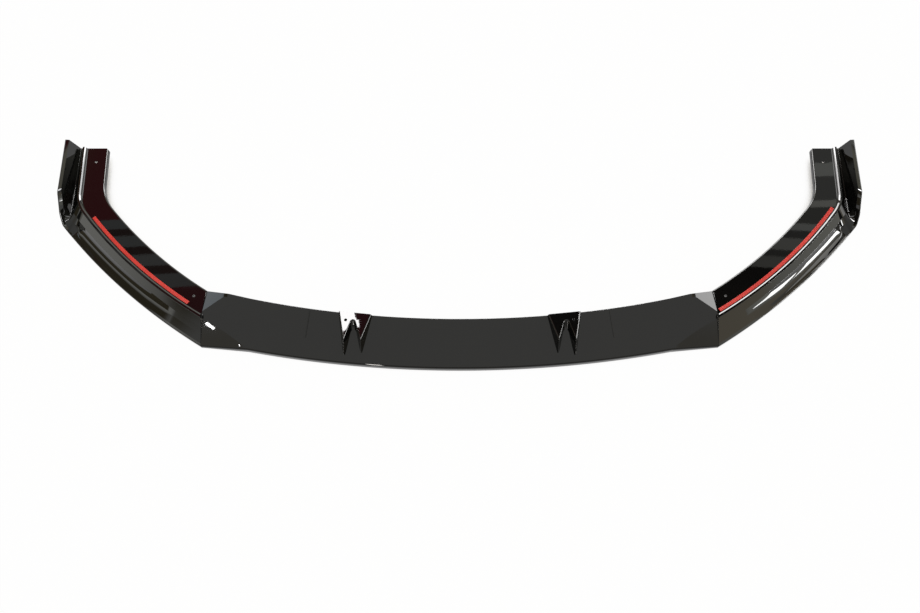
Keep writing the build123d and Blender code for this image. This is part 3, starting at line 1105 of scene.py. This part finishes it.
skyTone = {
    "seen": (1.0, 1.0, 1.0),           # to the camera
    "overhead": (0.80, 0.80, 0.77),
    "front": (0.35, 0.34, 0.32),
    "sideLeft": (1.85, 1.85, 1.72),
    "sideRight": (1.45, 1.45, 1.30),
    "oliveLeft": (0.42, 0.37, 0.25),   # beside the ceiling
    "oliveRight": (0.62, 0.54, 0.36),
    "shelfRight": (1.15, 1.03, 0.80),
    "fins": (1.20, 1.16, 0.94),        # far middle of the ceiling
    "leftWall": (0.26, 0.22, 0.13),    # high and low at the left
    "corners": (0.66, 0.63, 0.55),     # towards the front on either hand
    # bays of the ceiling behind the lip, each from its place, how far back over how high
    "ceilingRight": [
        (0.400, (0.01, 0.006, 0.008)), (0.528, (0.50, 0.50, 0.46)), (0.550, (0.18, 0.18, 0.17)),
        (0.562, (0.70, 0.70, 0.65)), (0.585, (0.22, 0.22, 0.21)), (0.601, (0.95, 0.97, 0.92)),
        (0.615, (0.30, 0.30, 0.28)), (0.650, (1.20, 1.20, 1.10)), (0.661, (0.42, 0.42, 0.40)),
        (0.712, (1.15, 1.18, 1.10)), (0.743, (0.45, 0.45, 0.43)),
    ],
    "ceilingLeft": [
        (0.400, (0.24, 0.03, 0.05)), (0.490, (0.40, 0.40, 0.40)), (0.515, (0.12, 0.06, 0.06)),
        (0.530, (0.45, 0.45, 0.45)), (0.552, (0.10, 0.05, 0.05)), (0.568, (0.40, 0.42, 0.42)),
        (0.590, (0.10, 0.05, 0.05)), (0.604, (0.38, 0.40, 0.40)), (0.622, (0.30, 0.035, 0.05)),
    ],
    "ceilingStart": 0.4,
    "ceilingSpan": 0.4,
    "leastHeight": 0.02,
}


def makeSky():
    world = bpy.data.worlds.new("studio")
    world.use_nodes = True
    scene.world = world
    tree = world.node_tree
    wire = Wire(tree)
    ray = wire.make("ShaderNodeTexCoord", output=0)
    parts = wire.make("ShaderNodeSeparateXYZ", i0=ray)
    x, y, z = (Wire(tree, out) for out in parts.socket.node.outputs)  # right, rear and up
    height = wire.sums("MAXIMUM", z, skyTone["leastHeight"])
    back = y / height
    wide = wire.sums("ABSOLUTE", x / height)

    def bays(stops):
        # constant steps over the span of the ceiling
        start, span = skyTone["ceilingStart"], skyTone["ceilingSpan"]
        stops = [((place - start) / span, colour) for place, colour in stops]
        node = wire.make("ShaderNodeValToRGB", {"stops": stops}, Fac=(back - start) / span)
        node.socket.node.color_ramp.interpolation = "CONSTANT"
        return node

    # zones of the sky, 1 inside and 0 outside
    rightHalf = x.ramp(-0.02, 0.02)
    rightSide = x.ramp(-0.3, 0.3)
    besideCeiling = wide.ramp(0.45, 0.62) * back.ramp(0.50, 0.44)
    farMiddle = wide.ramp(0.46, 0.40) * back.ramp(0.52, 0.56)
    behind = y.ramp(0.08, 0.24)
    highLeft = x.ramp(-0.4, -0.55) * wide.ramp(0.66, 0.76) * wide.ramp(1.6, 1.3) * y.ramp(-0.27, -0.21)
    ahead = y.ramp(-0.35, -0.7)
    lowSides = z.ramp(0.62, 0.40) * y.ramp(-0.6, -0.3)
    lowLeft = x.ramp(-0.5, -0.7) * z.ramp(0.41, 0.36)
    frontCorners = wide.ramp(0.44, 0.54) * y.ramp(-0.19, -0.25) * z.ramp(0.7, 0.76)
    shelfRight = x.ramp(0.55, 0.68) * z.ramp(0.74, 0.70) * z.ramp(0.46, 0.54) * y.ramp(0.12, 0.06)

    # laid one over the other
    rear = rightHalf.blend(bays(skyTone["ceilingLeft"]), bays(skyTone["ceilingRight"]))
    rear = besideCeiling.blend(rear, rightHalf.blend(skyTone["oliveLeft"], skyTone["oliveRight"]))
    rear = farMiddle.blend(rear, skyTone["fins"])
    tone = behind.blend(skyTone["overhead"], rear)
    tone = highLeft.blend(tone, skyTone["leftWall"])
    tone = ahead.blend(tone, skyTone["front"])
    tone = lowSides.blend(tone, rightSide.blend(skyTone["sideLeft"], skyTone["sideRight"]))
    tone = lowLeft.blend(tone, skyTone["leftWall"])
    tone = frontCorners.blend(tone, skyTone["corners"])
    tone = shelfRight.blend(tone, skyTone["shelfRight"])
    seen = wire.make("ShaderNodeLightPath")
    tone = seen.blend(tone, skyTone["seen"])
    wire.feed(tree.nodes["Background"].inputs["Color"], tone)


white = (1, 1, 1)
alongX = (1, 0, 0)
alongY = (0, 1, 0)
# each lamp: the spot on the lip that mirrors it, the way from there to it, and the distance;
# then width and height, radiance, colour, and the way that its width runs
lamps = {
    "boss_lamp": ((-0.22, -0.17, 0.046), (-0.306, 0.4795, 0.986), 2.75,
        (0.55, 0.54), 24.0, white, (0.966, 0.259, 0)),
    "right_window": ((0.51, -0.11, 0.03), (0.70, 0.48, 0.53), 3.0,
        (1.0, 0.6), 6.0, white, alongY),
    "left_window": ((-0.51, -0.11, 0.03), (-0.70, 0.48, 0.53), 3.0,
        (1.0, 0.6), 1.6, (0.7, 0.85, 1), alongY),
    "scoop_light_front": ((0.75, -0.03, 0.015), (0.95, -0.265, 0.19), 3.0,
        (0.37, 1.0), 18.0, white, alongY),
    "scoop_light_rear": ((0.75, -0.03, 0.015), (0.98, 0.04, 0.19), 3.0,
        (1.22, 1.0), 18.0, white, alongY),
    "scoop_glint": ((0.64, -0.12, 0.015), (0.92, -0.36, 0.15), 3.0,
        (0.06, 0.3), 18.0, white, alongY),
    "rib_light": ((0.58, -0.05, 0.035), (0.0, 0.93, 0.35), 2.7,
        (0.75, 1.0), 14.0, white, alongX),
    "right_tail_light": ((0.85, 0.19, 0.035), (-0.38, 0.65, 0.655), 2.6,
        (0.7, 0.7), 14.0, white, alongX),
    "left_tail_light": ((-0.85, 0.19, 0.035), (0.38, 0.65, 0.655), 2.6,
        (0.7, 0.7), 14.0, white, alongX),
    "ridge_light": ((0.85, 0.09, 0.028), (0.66, 0.17, 0.73), 1.0,
        (0.30, 0.30), 2.2, white, alongY),
    "right_fin_glint": ((0.874, 0.127, 0.06), (-0.2, 0.25, 0.93), 1.2,
        (0.25, 0.25), 50.0, white, alongX),
    "left_fin_glint": ((-0.874, 0.127, 0.06), (0.2, 0.25, 0.93), 1.2,
        (0.2, 0.2), 16.0, white, alongX),
    "crease_glint": ((-0.5075, -0.174, 0.023), (-0.525, -0.225, 0.825), 1.5,
        (0.040, 0.010), 60.0, white, (-0.15, 0.10, 0.02)),
    "crease_glint_low": ((-0.443, -0.217, 0.014), (-0.48, -0.26, 0.84), 1.5,
        (0.018, 0.010), 60.0, white, (-0.15, 0.10, 0.02)),
    "front_glint": ((-0.170, -0.257, 0.012), (-0.22, -0.85, 0.48), 2.5,
        (0.12, 1.2), 20.0, (1, 0.97, 0.92), alongX),
}


def makeLamp(name, spot, way, distance, size, radiance, colour, along):
    # soft panel that faces back to the spot and shows only in the gloss
    data = bpy.data.lights.new(name, "AREA")
    data.shape = "RECTANGLE"
    data.size, data.size_y = size
    data.energy = radiance * size[0] * size[1] * math.pi
    data.color = colour
    lamp = bpy.data.objects.new(name, data)
    way = Vector(way).normalized()
    width = (Vector(along) - way * Vector(along).dot(way)).normalized()
    turn = Matrix((width, way.cross(width), way)).transposed()
    lamp.location = Vector(spot) + way * distance
    lamp.rotation_euler = turn.to_euler()
    lamp.visible_camera = False
    lamp.visible_diffuse = False
    scene.collection.objects.link(lamp)


cameraSet = {
    "place": (0.0, frontEdge - 407.19 * mm, 1231 * mm),
    "pitch": 24.0,            # degrees from straight down
    "lens": 25.04,
    "sensor": 36.0,
    "shift": (0.0003, 0.0005),
    "clip": (0.05, 100.0),
}


def makeCamera():
    data = bpy.data.cameras.new("camera")
    data.lens = cameraSet["lens"]
    data.sensor_width = cameraSet["sensor"]
    data.shift_x, data.shift_y = cameraSet["shift"]
    data.clip_start, data.clip_end = cameraSet["clip"]
    camera = bpy.data.objects.new("camera", data)
    camera.location = cameraSet["place"]
    camera.rotation_euler = (math.radians(cameraSet["pitch"]), 0.0, 0.0)
    scene.collection.objects.link(camera)
    scene.camera = camera


makeFloor()
makeSky()
for name, values in lamps.items():
    makeLamp(name, *values)
makeCamera()
print("stage, light and camera set")
